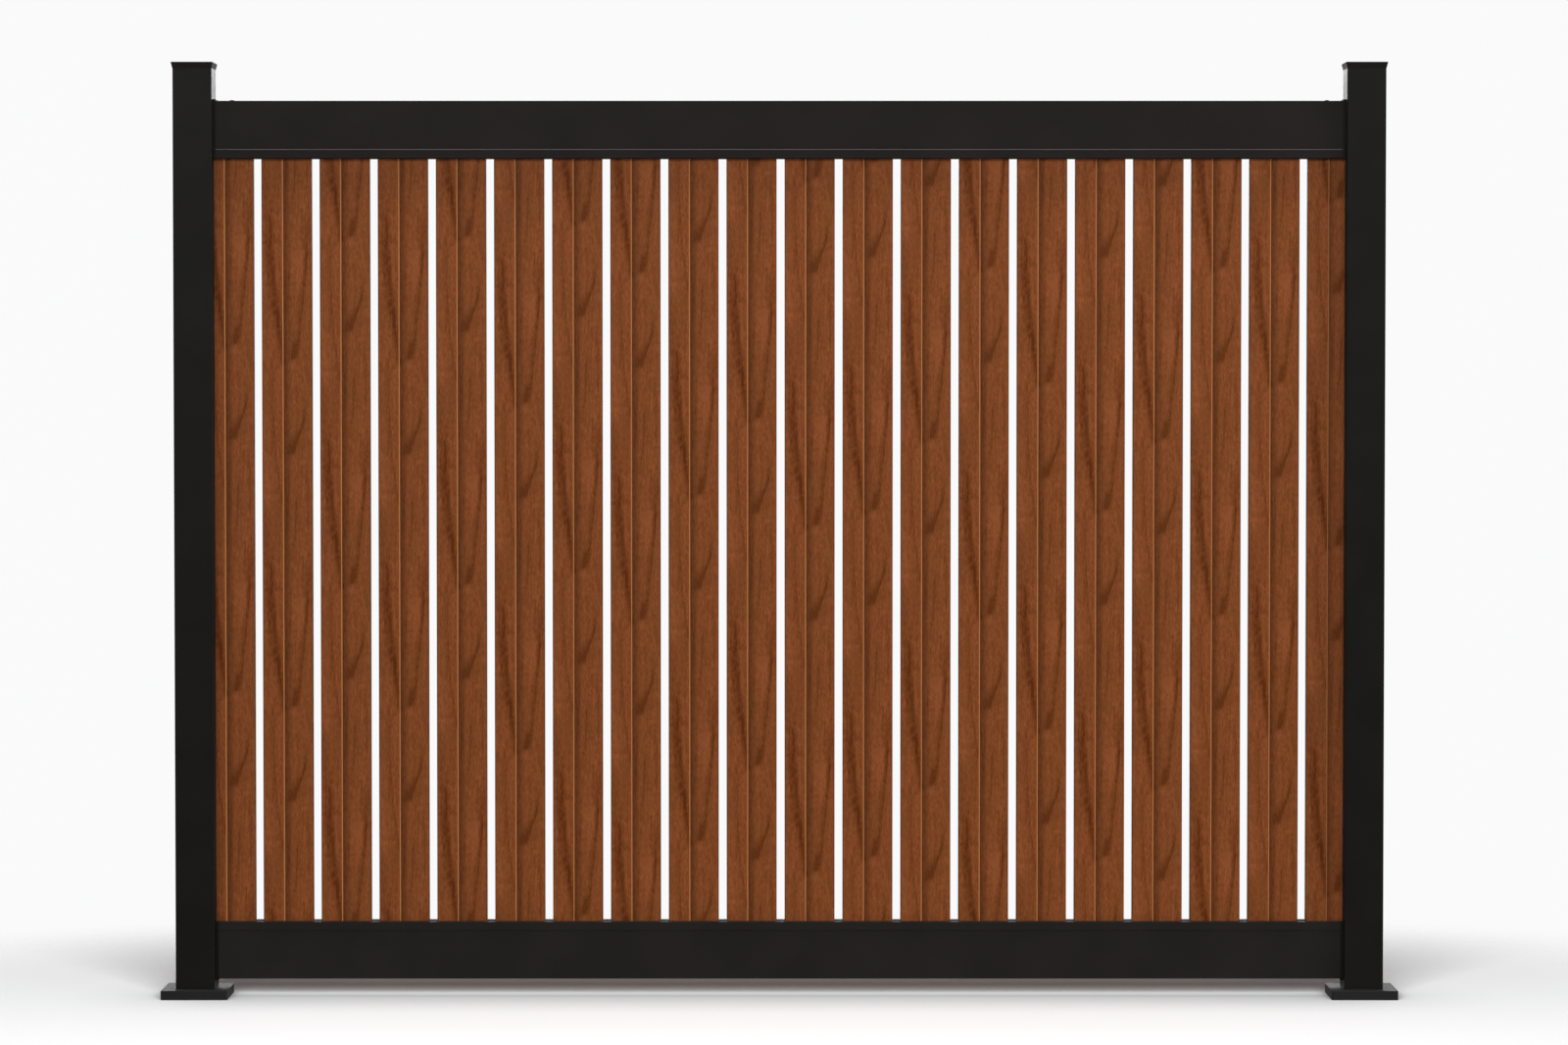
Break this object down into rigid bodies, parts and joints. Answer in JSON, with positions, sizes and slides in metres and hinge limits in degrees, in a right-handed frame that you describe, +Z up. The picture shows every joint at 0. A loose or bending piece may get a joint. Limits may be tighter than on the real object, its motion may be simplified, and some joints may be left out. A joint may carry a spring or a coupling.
{
  "type": "aluminium fence panel",
  "caption": "Fence panel of black aluminium posts and rails on bolted bases, with upright wood-grain aluminium boards set apart in the rails.",
  "frame": {"origin": "centre of the left post's base plate, on its underside", "axes": "+X along the fence from the left post to the right post, +Y to the back, +Z up"},
  "size_m": [2.416, 0.13, 1.8293],
  "materials": {
    "black_powder_coat": "satin",
    "black_plate": "matte",
    "woodgrain_coat": "satin",
    "black_plastic": "matte"
  },
  "bodies": {
    "root": {"left_post": "black_powder_coat", "right_post": "black_powder_coat", "left_post_cap": "black_powder_coat", "right_post_cap": "black_powder_coat", "left_base_cover": "black_powder_coat", "right_base_cover": "black_powder_coat", "top_rail": "black_powder_coat", "bottom_rail": "black_powder_coat", "top_left_rail_bracket": "black_powder_coat", "top_right_rail_bracket": "black_powder_coat", "bottom_left_rail_bracket": "black_powder_coat", "bottom_right_rail_bracket": "black_powder_coat", "left_base_plate": "black_plate", "right_base_plate": "black_plate", "board_01": "woodgrain_coat", "board_02": "woodgrain_coat", "board_03": "woodgrain_coat", "board_04": "woodgrain_coat", "board_05": "woodgrain_coat", "board_06": "woodgrain_coat", "board_07": "woodgrain_coat", "board_08": "woodgrain_coat", "board_09": "woodgrain_coat", "board_10": "woodgrain_coat", "board_11": "woodgrain_coat", "board_12": "woodgrain_coat", "board_13": "woodgrain_coat", "board_14": "woodgrain_coat", "board_15": "woodgrain_coat", "board_16": "woodgrain_coat", "board_17": "woodgrain_coat", "board_18": "woodgrain_coat", "board_19": "woodgrain_coat", "board_20": "woodgrain_coat", "top_board_spacers": "black_plastic", "bottom_board_spacers": "black_plastic"}
  },
  "joints": []
}
